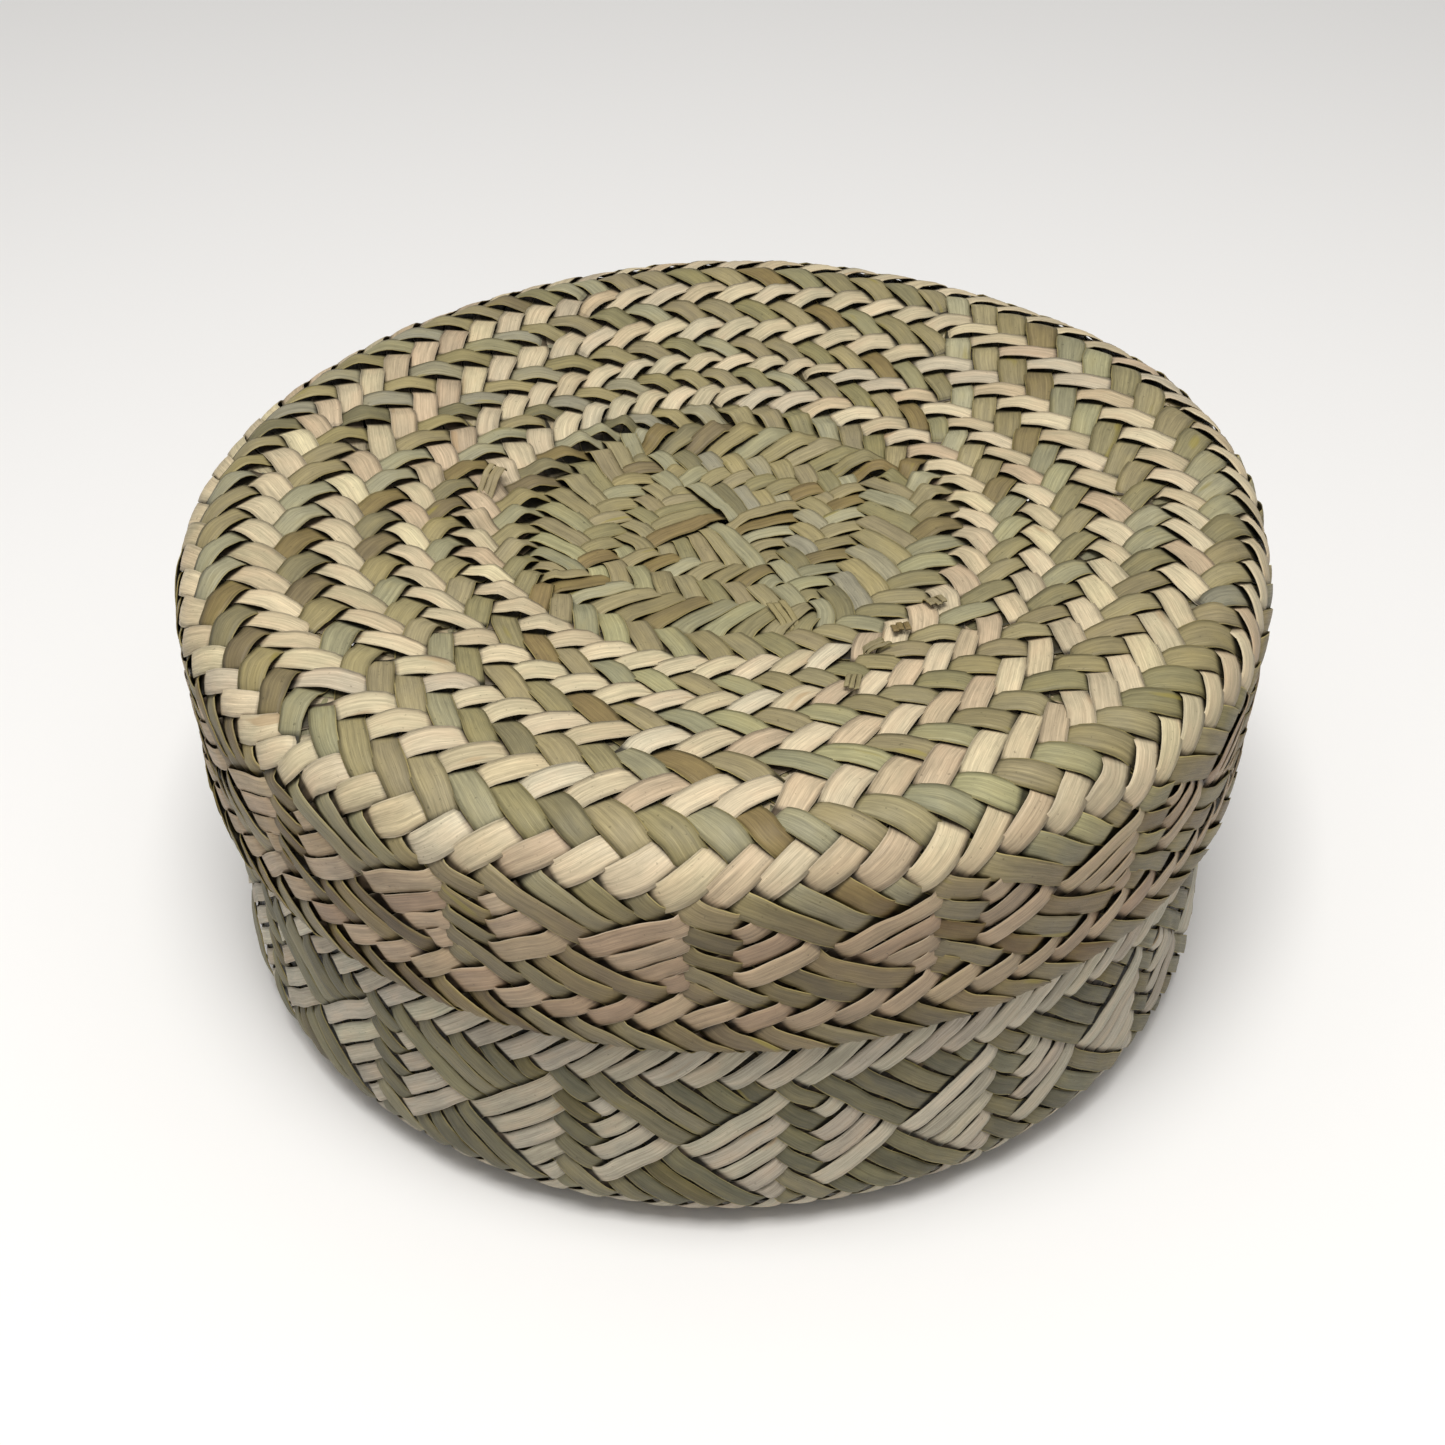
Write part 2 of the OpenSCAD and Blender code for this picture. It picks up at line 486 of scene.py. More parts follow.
    def to_space(self, pos, height):
        """Planar points wrapped on the shell, at a height above the middle of the plait."""
        s, outward, _, _ = self.metric(pos)
        r, z, nr, nz = self.section.bent(s, np.arctan2(pos[..., 1], pos[..., 0]))
        rr = r + nr * height
        return np.stack([rr * outward[..., 0], rr * outward[..., 1], z + nz * height], -1)

    def strip_widths(self):
        """Room for the strips of each family, square to them, at every crossing."""
        lattice, pos = self.lattice, self.pos
        _, outward, sideways, ratio = self.metric(pos)
        me = np.arange(len(pos))

        def mean_step(inner, outer):
            i, o = np.where(inner < 0, me, inner), np.where(outer < 0, me, outer)
            d = pos[o] - pos[i]
            step = np.stack([(d * outward).sum(1), (d * sideways).sum(1) * ratio], 1)
            return step / np.maximum((inner >= 0).astype(float) + (outer >= 0), 1)[:, None]

        p, q = mean_step(lattice.p_before, lattice.p_after), mean_step(lattice.q_before, lattice.q_after)
        p_length, q_length = np.linalg.norm(p, axis=1), np.linalg.norm(q, axis=1)
        sine = np.abs(p[:, 0] * q[:, 1] - p[:, 1] * q[:, 0]) / np.maximum(p_length * q_length, 1e-9)
        return {family: np.clip(length * sine, NARROWEST, WIDEST)
                for family, length in (("p", q_length), ("q", p_length))}

    def chains(self):
        """Family and crossings of every strip end, from the centre outwards, by strip number."""
        out = {}
        for ids, family in ((self.lattice.p_strip, "p"), (self.lattice.q_strip, "q")):
            order = np.argsort(ids, kind="stable")
            cuts = np.flatnonzero(np.diff(ids[order])) + 1
            for part in np.split(order, cuts):
                part = part[np.argsort(self.lattice.row[part], kind="stable")]
                out[int(ids[part[0]])] = (family, part)
        return out


# ---- ribbons

OVER_BY = 0.62      # how far a strip is above the middle of the plait at a crossing, or below it
THICK = 0.28
V_TOP = np.array([-1, -0.55, 0, 0.55, 1])   # points across the outer face of a strip
V_BOTTOM = np.array([0.92, 0.0, -0.92])     # and back across its inner face
V_ALL = np.r_[V_TOP, V_BOTTOM]
ON_TOP = np.r_[np.ones(len(V_TOP)), np.zeros(len(V_BOTTOM))]
PER_CROSSING, PER_FOLD = 4, 8               # samples from a crossing to the next, and round the rim
RIM_REACH = 2.5                             # how near the rim a stretch takes the finer samples
RIM_NEAR, RIM_FAR = 2.0, 8.0                # distances from the rim where floats begin to lie flatter
SCATTER, HEIGHT_SCATTER = 0.16, 0.06        # unevenness of the crossings, in the plane and in height
TILT, TILT_SCATTER = 0.24, 0.09             # rise of a float's raised edge over its middle
WAVE = 0.03                                 # unevenness of a strip between its crossings
RISE_FROM, RISE_TO = 0.15, 0.85             # stretch between two crossings in which it rises or dips
CROWN, CROWN_OVER = 0.03, 0.06              # how far its middle is above its edges, and more when over
SLIM, SWELL = 0.98, 0.05                    # width at the ends of a float, and more in its middle
UNDER = 0.3                                 # a strip runs under below this height, by OVER_BY
LONG_ARCH, ARCH_SCATTER = 0.22, 0.25        # more arch for a crossing past two, and its unevenness
TUCK = (0.6, 1.15)                          # the two hidden points past an end, in crossings
TUCK_HEIGHT = -1.5 * OVER_BY
TUCK_SHADE = 0.58                           # the deepest that a hidden end counts for in its painted shade
SIDE_SHADE_FROM, SIDE_SHADE_TO = 136, 157                 # places along the section between which the painted shade on the side sets in
MAT_WIDTH = 1.10                            # width of the mat's strips by the room they have


class Bag:
    """Ribbons of one piece, gathered into one mesh."""

    def __init__(self, name):
        self.name = name
        self.swing = 0.0 if name.endswith("centre") else 1.0    # the mat's floats lie as its strips do
        self.points, self.quads, self.sharp, self.strip, self.leaf = [], [], [], [], []
        self.caps = []
        self.total = 0

    def add(self, points, strip, leaf):
        """points is samples x 8 x 3, the closed section of the strip at every sample."""
        m, k = points.shape[:2]
        i = np.arange(m - 1)[:, None] * k
        j = np.arange(k)[None]
        after = (j + 1) % k
        quads = np.stack([i + j, i + after, i + k + after, i + k + j], -1).reshape(-1, 4)
        sharp = np.zeros((m - 1, k), bool)
        sharp[:, [len(V_TOP) - 1, k - 1]] = True
        self.quads.append(quads + self.total)
        self.sharp.append(sharp.reshape(-1))
        self.caps.append(self.total + np.arange(k)[::-1])
        self.caps.append(self.total + (m - 1) * k + np.arange(k))
        self.points.append(points.reshape(-1, 3))
        self.strip.append(strip.reshape(-1, 3))
        self.leaf.append(leaf.reshape(-1, 4))
        self.total += m * k

    def mesh(self, material):
        points = np.concatenate(self.points) * MM
        quads = np.concatenate(self.quads)
        caps = np.array(self.caps)
        loops = np.concatenate([quads.reshape(-1), caps.reshape(-1)])
        starts = np.r_[np.arange(len(quads)) * 4, quads.size + np.arange(len(caps)) * caps.shape[1]]
        mesh = bpy.data.meshes.new(self.name)
        mesh.vertices.add(len(points))
        mesh.vertices.foreach_set("co", points.astype(np.float32).reshape(-1))
        mesh.loops.add(len(loops))
        mesh.loops.foreach_set("vertex_index", loops.astype(np.int32))
        mesh.polygons.add(len(starts))
        mesh.polygons.foreach_set("loop_start", starts.astype(np.int32))
        mesh.update(calc_edges=True)
        is_smooth = np.r_[~np.concatenate(self.sharp), np.zeros(len(caps), bool)]
        mesh.polygons.foreach_set("use_smooth", is_smooth)
        strip = mesh.attributes.new("strip", "FLOAT_VECTOR", "POINT")
        strip.data.foreach_set("vector", np.concatenate(self.strip).astype(np.float32).reshape(-1))
        leaf = mesh.attributes.new("leaf", "FLOAT_COLOR", "POINT")
        leaf.data.foreach_set("color", np.concatenate(self.leaf).astype(np.float32).reshape(-1))
        mesh.validate()
        mesh.materials.append(material)
        piece = bpy.data.objects.new(self.name, mesh)
        bpy.context.scene.collection.objects.link(piece)
        return piece


def with_hidden_end(points, height, width, over):
    """The course of a strip, run on a little way below the strip that covers its last point."""
    on = points[-1] - points[-2]
    points = np.vstack([points, points[-1] + TUCK[0] * on, points[-1] + TUCK[1] * on])
    return points, np.r_[height, [TUCK_HEIGHT] * 2], np.r_[width, [width[-1]] * 2], np.r_[over, False, False]


def sample_places(points, rim_s):
    """Where the strip is sampled, counted in crossings: finer where it goes round the rim."""
    s = np.linalg.norm(points, axis=1)
    places = []
    for k in range(len(points) - 1):
        near_rim = min(s[k], s[k + 1]) - RIM_REACH < rim_s < max(s[k], s[k + 1]) + RIM_REACH
        places.append(k + np.linspace(0, 1, (PER_FOLD if near_rim else PER_CROSSING) + 1)[:-1])
    return np.r_[np.concatenate(places), len(points) - 1.0]


def curve_through(points, k, f):
    """Catmull-Rom curve, a share f of the way from point k to the next."""
    ext = np.vstack([2 * points[0] - points[1], points, 2 * points[-1] - points[-2]])
    p0, p1, p2, p3 = ext[k], ext[k + 1], ext[k + 2], ext[k + 3]
    f = f[:, None]
    return 0.5 * (2 * p1 + (p2 - p0) * f + (2 * p0 - 5 * p1 + 4 * p2 - p3) * f ** 2
                  + (3 * p1 - p0 - 3 * p2 + p3) * f ** 3)


def floats(over, at):
    """For samples at these places, counted in crossings: how far from the nearer end of its float each one
    is (0 where the strip runs under), how many crossings long that float is, and how far it has swung, from
    -length / 2 at the start of a float to length / 2 at its end and back again under the other strips."""
    inside, length = np.zeros(len(at)), np.zeros(len(at))
    knots, i = [(-0.5, 0.0)], 0
    while i < len(over):
        j = i
        while j + 1 < len(over) and over[j + 1] == over[i]:
            j += 1
        if over[i]:
            here = (at >= i - 0.5) & (at <= j + 0.5)
            inside[here] = np.minimum(at[here] - i + 0.5, j + 0.5 - at[here])
            length[here] = j - i + 1
            knots += [(i - 0.5, -(j - i + 1) / 2), (j + 0.5, (j - i + 1) / 2)]
        i = j + 1
    return inside, length, np.interp(at, *zip(*knots))


def flattened(shell, bag, course, swung):
    """The course of a strip with its floats turned flatter about their middles, except near the rim."""
    plan = shell.plan
    s = np.linalg.norm(course, axis=1)
    off_rim = smooth(np.abs(s - plan.rim_s), RIM_NEAR, RIM_FAR)
    return course - (plan.swing * bag.swing * swung * off_rim / s)[:, None] * course


def cross_sections(shell, course, at, widths, rise):
    """The closed section of the strip, so wide and raised so far, at every sample of its course."""
    step = np.gradient(course, at, axis=0)
    _, outward, sideways, ratio = shell.metric(course)
    out, side = (step * outward).sum(1), (step * sideways).sum(1) * ratio
    speed = np.hypot(out, side)
    # the strip's own sideways, in the plane
    across_out, across_side = -side / speed, out / speed / ratio
    x = ((widths / 2)[:, None] * V_ALL[None])[..., None]
    off = (outward * across_out[:, None])[:, None, :] * x + (sideways * across_side[:, None])[:, None, :] * x
    placed = shell.to_space(course[:, None, :] + off, rise)
    # the basket stands on its lowest strips, and none goes below them
    placed[..., 2] += np.maximum(0, -placed[..., 2].min(axis=1))[:, None]
    return placed


def leaf_data(plan, placed, s, level, hidden, colour, number):
    """What the leaf material reads at every point: (length, place across, the strip's own number), and the
    colour, with painted shade on the side, and in alpha how far under the other strips that face lies, from
    which the material paints shade between the strips."""
    shape = placed.shape[:2]
    along = np.r_[0, np.cumsum(np.linalg.norm(np.diff(placed[:, 2], axis=0), axis=1))]
    strip = np.stack([np.broadcast_to(along[:, None], shape), np.broadcast_to(V_ALL[None], shape),
                      np.full(shape, number)], -1)
    # painted shade: a face is darkened the further it lies under the crossing strips
    low = np.clip(0.5 - 0.5 * level / OVER_BY, 0, 1)
    high = 1 - low
    low = np.where(hidden, np.minimum(low, TUCK_SHADE), low)
    gap_shade = low[:, None] * ON_TOP + high[:, None] * (1 - ON_TOP)
    # painted shade: the colour is darkened from the shoulder down over the side
    painted_side_shade = smooth(s, SIDE_SHADE_FROM, SIDE_SHADE_TO)[:, None] * np.array(plan.painted_side_shade)
    return strip, np.dstack([np.broadcast_to((colour * (1 - painted_side_shade))[:, None, :], shape + (3,)), gap_shade])


def ribbon(shell, bag, points, over, width, colour, rng, tuck=(False, False), tilt=TILT, fill=1.0, sign=1.0,
           lift=0.0):
    """Adds the ribbon that passes through points in the plane, over or under at each of them. tuck says
    whether its two ends go under, and sign which of its edges a float lifts."""
    plan = shell.plan
    height = np.where(over, OVER_BY, -OVER_BY) + rng.normal(0, HEIGHT_SCATTER, len(points)) + lift
    if len(width) > 2:
        width = softened(width)
    way = points, height, width, over
    if tuck[0]:
        way = [v[::-1] for v in with_hidden_end(*(v[::-1] for v in way))]
    if tuck[1]:
        way = with_hidden_end(*way)
    points, height, width, over = way
    n = len(points)
    at = sample_places(points, plan.rim_s)
    k = np.minimum(at.astype(int), n - 2)
    f = at - k
    inside, length, swung = floats(over, at)
    course = flattened(shell, bag, curve_through(points, k, f), swung)
    s = np.linalg.norm(course, axis=1)

    # height and width along the strip
    ease = smooth(f, RISE_FROM, RISE_TO)
    level = height[k] * (1 - ease) + height[k + 1] * ease
    up = np.clip(level / OVER_BY, -1, 1.0)
    widths = (width[k] * (1 - f) + width[k + 1] * f) * fill
    widths = widths * (SLIM + SWELL * smooth(inside, 0.0, 1.0) + plan.spread * np.clip(UNDER - up, 0, 1))
    arch = shell.proud(s, np.arctan2(course[:, 1], course[:, 0])) * smooth(inside, 0.1, 1.0)
    level = level + arch * (1 + LONG_ARCH * np.clip(length - 2, 0, 3)) * (1 + ARCH_SCATTER * rng.normal())

    # height across it: a crown, and one edge raised
    crown = CROWN + CROWN_OVER * up
    uneven = TILT_SCATTER * np.interp(at, np.arange(n), rng.normal(0, 1, n))
    lean = sign * (tilt + uneven) * np.clip(up, 0, 1)
    wave = softened(rng.normal(0, WAVE, len(at)))
    rise = (level + wave)[:, None] + crown[:, None] * (0.5 - V_ALL[None] ** 2) \
        + lean[:, None] * V_ALL[None] + THICK * (ON_TOP - 0.5)
    placed = cross_sections(shell, course, at, widths, rise)
    hidden = (at < 2.0) & tuck[0] | (at > n - 3.0) & tuck[1]
    bag.add(placed, *leaf_data(plan, placed, s, level, hidden, colour, rng.random() * 100))


def strip_ribbon(shell, bag, path, over, width, colour, rng, **looks):
    """Adds the ribbon that follows a path of crossings, as unevenly as a hand lays it."""
    points = shell.pos[path] + rng.normal(0, SCATTER, (len(path), 2))
    ribbon(shell, bag, points, over, width, colour, rng, **looks)


def cut_end(shell, bag, start, end, width, colour, rng):
    """The cut end of a strip that stands out of the plait, split into three along its fibres. It begins
    below the plait and rises towards its end."""
    start, end = np.array(start, float), np.array(end, float)
    along = end - start
    across = np.array([-along[1], along[0]]) / np.hypot(*along) * width / 3
    over = np.array([False, False, True, True, True])
    rising = np.array([-0.4, 0.5, 0.9, 1.3, 1.7])
    for k in (-1, 0, 1):
        far = start + along * (1 + rng.normal(0, 0.10)) + across * k * 1.1
        points = np.linspace(start - 0.3 * along + across * k, far, len(over))
        lift = rising + rng.normal(0, 0.1)
        ribbon(shell, bag, points, over, np.full(len(over), width / 3), colour, rng, tilt=0.05, lift=lift)


# ---- colours of the strips

def palette(*shares):
    """Pairs of a colour and how common it is."""
    return [(linear_rgb(colour), share) for colour, share in shares]


GREEN_HUES, CREAM_HUES = (0.10, 0.09), (0.07, 0.035)  # spread of brightness, and of yellowness
HUE_SPREAD, MEAN_BLUE = 0.010, 0.02                     # spread of red and of green, and blue's start


def shade(rng, colours, spread, yellowness):
    """A colour of the palette, a little off."""
    choices, shares = zip(*colours)
    c = choices[rng.choice(len(choices), p=np.array(shares) / sum(shares))]
    brightness = np.exp(rng.normal(0, spread))
    off = rng.normal(0, 1, 3)
    hue = np.exp([HUE_SPREAD * off[0], HUE_SPREAD * off[1], MEAN_BLUE - yellowness * abs(off[2])])
    return np.clip(c * brightness * hue, 0.005, 0.95)


LID.greens = palette(("948969", 5), ("9a957a", 3), ("857e5e", 3), ("82714a", 1.2), ("918a4a", 0.2),
                     ("9a9680", 0.7), ("7f7254", 1))
LID.creams = palette(("c4b696", 4), ("cdbf9f", 3), ("bdaa8d", 1.6), ("c0b59b", 0.7))
BASE.greens = palette(("716b52", 4), ("68644f", 3), ("7d7860", 2), ("6b6243", 1))
BASE.creams = palette(("b6ae9b", 4), ("bfb7a3", 2), ("a89f8c", 2))


# ---- every strip of a shell

WIDTH_SCATTER, WIDTH_LIMITS = 0.045, (0.88, 1.08)   # unevenness of the strips' widths
OWN_DRAWS, MAT_DRAWS, CUT_DRAWS = 100003, 7919, 77  # keep the random draws of the strips apart
SHORTEST = 3                                        # crossings that make a strip
SECTOR_AT = 6                                       # the crossing that says which sector a strip is in


def build(shell, bag_of):
    """Every strip of a shell. bag_of(kind, angle) gives the piece that a part of a strip belongs to."""
    plan, lattice = shell.plan, shell.lattice
    rng = np.random.default_rng(plan.build_seed)
    widths = shell.strip_widths()
    halves = {}
    for number, (family, path) in sorted(shell.chains().items()):
        is_cream = family == plan.cream
        last = plan.last_row + int(rng.integers(-2, 1))
        fill = plan.fill * float(np.clip(1 + rng.normal(0, WIDTH_SCATTER), *WIDTH_LIMITS))
        own = np.random.default_rng(plan.build_seed * OWN_DRAWS + number)
        green = shade(own, plan.greens, *GREEN_HUES)
        cream = shade(own, plan.creams, *CREAM_HUES)
        path = path[lattice.row[path] <= last]
        if len(path) < SHORTEST:
            continue
        over = shell.over[path] if is_cream else ~shell.over[path]
        rows, width = lattice.row[path], widths[family][path]
        # outside the mat a cream strip takes over from the green one that it is spliced to
        border = plan.splice_row if is_cream else plan.cut_row
        if number in lattice.in_mat and rows[0] <= border:
            inner = rows <= (border + 1 if is_cream else border)
            halves[number] = (path[inner], over[inner], width[inner], green)
        starts_inside = rows[0] <= border and (is_cream or number in lattice.in_mat)
        outer = rows >= (border if starts_inside else 0)
        if outer.sum() >= SHORTEST:
            kind, colour = ("cream", cream) if is_cream else ("green", green)
            x, y = shell.pos[path[min(len(path) - 1, SECTOR_AT)]]
            bag = bag_of(kind, math.atan2(y, x))
            strip_ribbon(shell, bag, path[outer], over[outer], width[outer], colour, own, fill=fill,
                         tuck=(is_cream or not starts_inside, False), sign=1.0 if family == "p" else -1.0)
    build_mat(shell, bag_of("centre", 0), halves)


def build_mat(shell, bag, halves):
    """The mat: each strip runs right through, from one quarter to the next."""
    plan = shell.plan
    for q_end, p_end in shell.lattice.twin.items():
        if q_end not in halves or p_end not in halves:
            continue
        a, b = halves[q_end], halves[p_end]
        green = halves[p_end if plan.cream == "q" else q_end][3]
        path, over, width = (np.r_[a[i][::-1], b[i]] for i in range(3))
        own = np.random.default_rng(plan.build_seed * MAT_DRAWS + q_end)
        strip_ribbon(shell, bag, path, over, width, green, own, tuck=(plan.cream == "q", plan.cream == "p"),
                     fill=MAT_WIDTH, sign=1.0 if q_end % 2 else -1.0)


def gather(shell, cut_ends=()):
    """The bags of a shell: its centre, and its strips by colour and by sector."""
    plan, bags = shell.plan, {}

    def bag_of(kind, angle):
        sector = int((math.degrees(angle) + 360.0) % 360.0 / (360.0 / plan.sectors)) % plan.sectors
        key = kind if kind == "centre" else f"{kind}_strips_{'abcde'[sector]}"
        if key not in bags:
            bags[key] = Bag(f"{plan.name}_{key}")
        return bags[key]

    build(shell, bag_of)
    rng = np.random.default_rng(CUT_DRAWS)
    for start, end, width in cut_ends:
        bag = bag_of("green", math.atan2(end[1], end[0]))
        cut_end(shell, bag, start, end, width, shade(rng, plan.greens, *GREEN_HUES), rng)
    return bags


# ---- leaf material

class Graph:
    """A material's nodes, with short ways to add those used here."""

    def __init__(self, name):
        self.material = bpy.data.materials.new(name)
        self.material.use_nodes = True
        self.tree = self.material.node_tree
        self.tree.nodes.clear()

    def node(self, kind, **settings):
        node = self.tree.nodes.new(kind)
        for name, value in settings.items():
            setattr(node, name, value)
        return node

    def feed(self, socket, value):
        """Links a socket to another one, or sets it."""
        if isinstance(value, bpy.types.NodeSocket):
            self.tree.links.new(value, socket)
        else:
            socket.default_value = value

    def math(self, operation, *values):
        node = self.node("ShaderNodeMath", operation=operation)
        for socket, value in zip(node.inputs, values):
            self.feed(socket, value)
        return node.outputs[0]

    def ramp(self, value, low, high, to_low=0.0, to_high=1.0):
        node = self.node("ShaderNodeMapRange")
        for name, v in (("Value", value), ("From Min", low), ("From Max", high), ("To Min", to_low),
                        ("To Max", to_high)):
            self.feed(node.inputs[name], v)
        return node.outputs["Result"]

    def between(self, noise, dark, light):
        """A factor from dark to light, over the range that a noise mostly keeps to."""
        return self.ramp(noise, 0.3, 0.7, dark, light)

    def grey(self, value):
        node = self.node("ShaderNodeCombineColor")
        for socket in list(node.inputs)[:3]:
            self.feed(socket, value)
        return node.outputs[0]

    def mix(self, kind, factor, a, b):
        node = self.node("ShaderNodeMix", data_type="RGBA", blend_type=kind)
        colours = [socket for socket in node.inputs if socket.type == "RGBA"]
        for socket, value in ((node.inputs["Factor"], factor), (colours[0], a), (colours[1], b)):
            self.feed(socket, value)
        return next(socket for socket in node.outputs if socket.type == "RGBA")

    def noise(self, place, along, across, detail=2.0, rough=0.5, offset=0.0):
        """Noise on a strip, with so many waves a millimetre along it and by the half width across it."""
        u, v, number = place
        at = self.node("ShaderNodeCombineXYZ")
        self.feed(at.inputs[0], self.math("MULTIPLY", u, along))
        self.feed(at.inputs[1], self.math("MULTIPLY", v, across))
        self.feed(at.inputs[2], self.math("ADD", number, offset))
        node = self.node("ShaderNodeTexNoise")
        self.feed(node.inputs["Vector"], at.outputs[0])
        for name, v in (("Scale", 1.0), ("Detail", detail), ("Roughness", rough)):
            self.feed(node.inputs[name], v)
        return node.outputs["Fac"]


def leaf_shading(g, place, shade_in_gaps):
    """How light the leaf is, from its fibres, streaks, blotches, flecks and specks, and with painted shade
    where a face lies far under the other strips. Also gives the noises that other parts of the material
    follow."""
    fibre = g.noise(place, 0.09, 17.0, 4.0, 0.7)
    streak = g.noise(place, 0.045, 5.0, offset=31.0)
    blotch = g.noise(place, 0.11, 0.8, offset=57.0)
    fleck = g.noise(place, 0.35, 9.0, offset=71.0)
    speck = g.noise(place, 1.1, 3.6, 1.0, offset=83.0)
    value = g.between(fibre, 0.72, 1.18)
    # the last factor is painted shade, darkest where a face lies far under the crossing strips
    for factor in (g.between(streak, 0.82, 1.13), g.between(blotch, 0.86, 1.10),
                   g.between(fleck, 0.92, 1.07), g.ramp(speck, 0.70, 0.80, 1.0, 0.62),
                   g.ramp(shade_in_gaps, 0.48, 0.80, 1.0, 0.12)):
        value = g.math("MULTIPLY", value, factor)
    return value, fibre, streak, blotch


def leaf_surface(g, colour, fibre, streak):
    """Half-dull leaf with fine ridges along its fibres."""
    bsdf = g.node("ShaderNodeBsdfPrincipled")
    bump = g.node("ShaderNodeBump")
    g.feed(bump.inputs["Strength"], 0.7)
    g.feed(bump.inputs["Distance"], 0.00012)
    g.feed(bump.inputs["Height"], g.math("ADD", fibre, g.math("MULTIPLY", streak, 0.8)))
    g.feed(bsdf.inputs["Base Color"], colour)
    g.feed(bsdf.inputs["Roughness"], g.between(fibre, 0.62, 0.48))
    g.feed(bsdf.inputs["Specular IOR Level"], 0.32)
    g.feed(bsdf.inputs["Normal"], bump.outputs[0])
    g.feed(g.node("ShaderNodeOutputMaterial").inputs[0], bsdf.outputs[0])


def leaf_material(name, edge, edge_share, patch, patch_share, ripe, ripe_share=0.65):
    """Dried leaf that takes its colour from the strip. Patches, ripe stretches and edges differ from it."""
    g = Graph(name)
    leaf = g.node("ShaderNodeAttribute", attribute_name="leaf")
    apart = g.node("ShaderNodeSeparateXYZ")
    g.feed(apart.inputs[0], g.node("ShaderNodeAttribute", attribute_name="strip").outputs["Vector"])
    place = tuple(apart.outputs)
    # the alpha of the leaf colour carries the painted shade between the strips
    value, fibre, streak, blotch = leaf_shading(g, place, leaf.outputs["Alpha"])
    colour = g.mix("MULTIPLY", 1.0, leaf.outputs["Color"], g.grey(value))
    colour = g.mix("MIX", g.math("MULTIPLY", g.ramp(blotch, 0.45, 0.75), patch_share), colour, rgba(patch))
    is_ripe = g.ramp(g.noise(place, 0.05, 0.7, 1.0, offset=97.0), 0.72, 0.78)
    colour = g.mix("MIX", g.math("MULTIPLY", is_ripe, ripe_share), colour, rgba(ripe))
    at_edge = g.math("MULTIPLY", g.ramp(g.math("ABSOLUTE", place[1]), 0.90, 0.97),
                     g.ramp(streak, 0.35, 0.6, 0.15, 1.0))
    colour = g.mix("MIX", g.math("MULTIPLY", at_edge, edge_share), colour, rgba(edge))
    leaf_surface(g, colour, fibre, streak)
    return g.material


green_leaf = leaf_material("green_leaf", edge="c0b070", edge_share=0.7, patch="8a7c4c", patch_share=0.28,
                           ripe="908440")
cream_leaf = leaf_material("cream_leaf", edge="e8dcc0", edge_share=0.35, patch="b89c7f", patch_share=0.32,
                           ripe="a98f6c")


# ---- the pieces

# cut ends that stand out at the border of the lid's mat, from where to where, and how wide
CUT_ENDS = [((42, -41), (44, -50), 4.2), ((31, -63), (30, -77), 3.4), ((50, -30), (54, -38), 4.0),
            ((32, -55), (40, -54), 3.6), ((-63, 14), (-61, 27), 4.4), ((17, -41), (13, -31), 4.6)]

# for each kind of strip: its material, its slot and the CAD nodes that it runs through
LID_KINDS = {
    "centre": (green_leaf, "lid_centre_leaf", ["lid_centre_mat"]),
    "cream": (cream_leaf, "lid_band_leaf", ["lid_top_bands", "lid_shoulder", "lid_turned_ends"]),
    "green": (green_leaf, "lid_side_leaf",
              ["lid_top_bands", "lid_skirt", "lid_rim_fold", "lid_shoulder"]),
}
BASE_KINDS = {
    "centre": (green_leaf, "base_floor_leaf", ["base_centre_mat"]),
    "cream": (cream_leaf, "base_band_leaf", ["base_floor_bands", "base_corner", "base_turned_ends"]),
    "green": (green_leaf, "base_side_leaf",
              ["base_floor_bands", "base_wall", "base_rim_fold", "base_corner"]),
}


def place_pieces(shell, kinds, cut_ends=()):
    for key, bag in sorted(gather(shell, cut_ends).items()):
        material, slot, nodes = kinds[key.split("_")[0]]
        piece = bag.mesh(material)
        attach(piece, shell.plan.name)
        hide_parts(*nodes)


place_pieces(Shell(LID, lid_section()), LID_KINDS, CUT_ENDS)
place_pieces(Shell(BASE, base_section()), BASE_KINDS)


# ---- stage, light and camera

def stage_material():
    """Pale paper, very slightly uneven."""
    g = Graph("paper_floor")
    noise = g.node("ShaderNodeTexNoise")
    g.feed(noise.inputs["Scale"], 3.0)
    g.feed(noise.inputs["Detail"], 4.0)
    bsdf = g.node("ShaderNodeBsdfPrincipled")
    g.feed(bsdf.inputs["Base Color"], g.grey(g.ramp(noise.outputs["Fac"], 0.0, 1.0, 0.84, 0.88)))
    g.feed(bsdf.inputs["Roughness"], 0.9)
    g.feed(g.node("ShaderNodeOutputMaterial").inputs[0], bsdf.outputs[0])
    return g.material


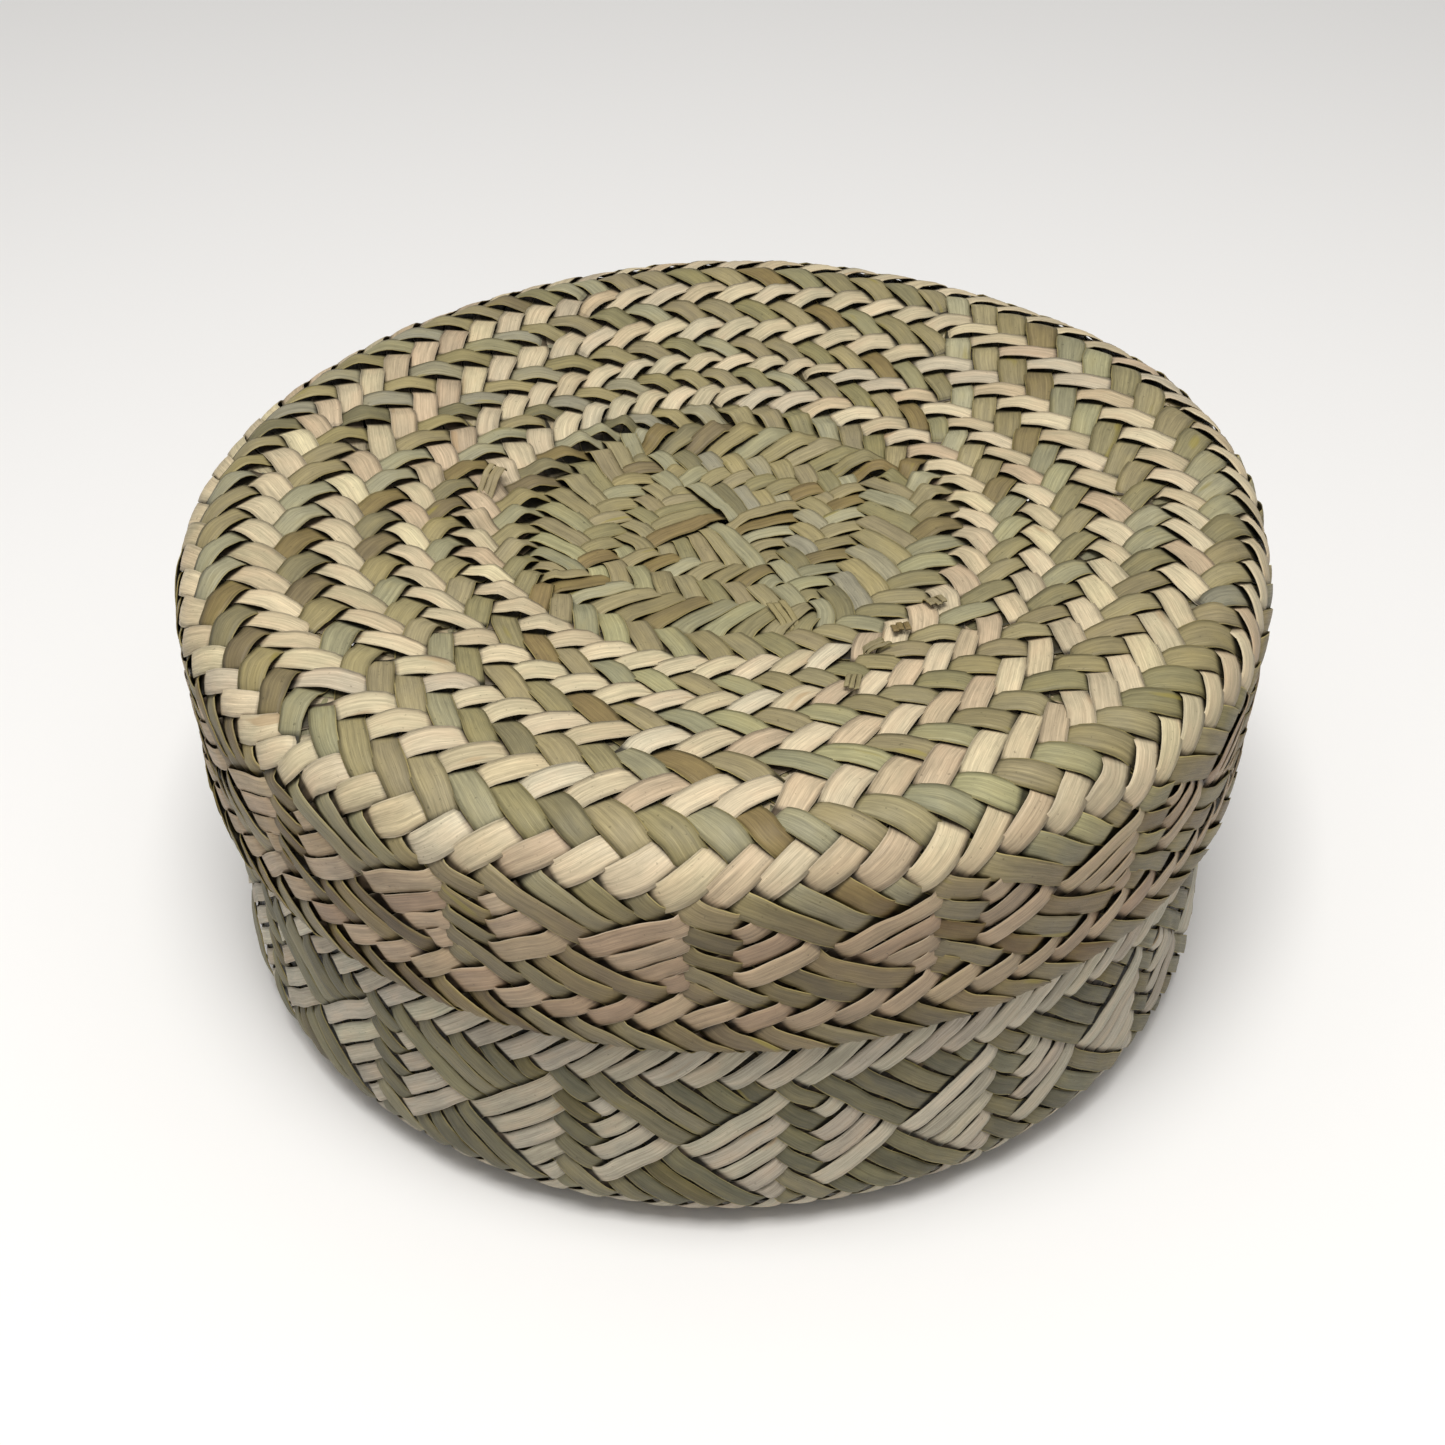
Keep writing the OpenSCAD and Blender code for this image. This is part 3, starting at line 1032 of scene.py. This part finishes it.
def make_floor():
    """A wide sheet, a hair below the basket."""
    bpy.ops.mesh.primitive_plane_add(size=12.0, location=(0, 0, -0.0002))
    floor = bpy.context.object
    floor.name = "floor"
    floor.data.materials.append(stage_material())


def make_world():
    """Soft light that comes from above and grows weaker towards the horizon."""
    world = bpy.data.worlds.new("studio")
    bpy.context.scene.world = world
    world.use_nodes = True
    nodes, links = world.node_tree.nodes, world.node_tree.links
    direction, apart = nodes.new("ShaderNodeTexCoord"), nodes.new("ShaderNodeSeparateXYZ")
    strength = nodes.new("ShaderNodeMapRange")
    for name, value in (("From Min", 0.0), ("From Max", 0.9), ("To Min", 0.08), ("To Max", 0.60)):
        strength.inputs[name].default_value = value
    links.new(direction.outputs["Generated"], apart.inputs[0])
    links.new(apart.outputs["Z"], strength.inputs["Value"])
    links.new(strength.outputs["Result"], nodes["Background"].inputs["Strength"])
    nodes["Background"].inputs["Color"].default_value = (1.0, 0.98, 0.96, 1)


def area_light(name, place, target, size, power, colour):
    data = bpy.data.lights.new(name, "AREA")
    data.shape, data.size, data.energy, data.color = "SQUARE", size, power, colour
    light = bpy.data.objects.new(name, data)
    bpy.context.scene.collection.objects.link(light)
    light.location = place
    light.rotation_euler = (Vector(target) - Vector(place)).to_track_quat("-Z", "Y").to_euler()


def make_camera():
    """At the photograph's viewing angle. The camera is placed from the middle of the lid's top: how far
    away, how high above it and how far down it looks."""
    distance, elevation, pitch = 0.534392, math.radians(31.34), math.radians(37.42)
    data = bpy.data.cameras.new("camera")
    data.sensor_width, data.lens = 36.0, 51.5709
    camera = bpy.data.objects.new("camera", data)
    bpy.context.scene.collection.objects.link(camera)
    camera.location = (0, -distance * math.cos(elevation), TOP * MM + distance * math.sin(elevation))
    camera.rotation_euler = (math.radians(90) - pitch, 0, 0)
    bpy.context.scene.camera = camera


make_floor()
make_world()
area_light("key", place=(-0.04, -0.4, 1.4), target=(0, 0, 0.1), size=0.6, power=17.2,
           colour=(1, 0.985, 0.955))
area_light("front", place=(0.0, -1.3, 0.5), target=(0, 0, 0.06), size=0.9, power=0.7,
           colour=(1, 0.85, 0.80))
make_camera()
bpy.context.scene.view_settings.view_transform = "Standard"
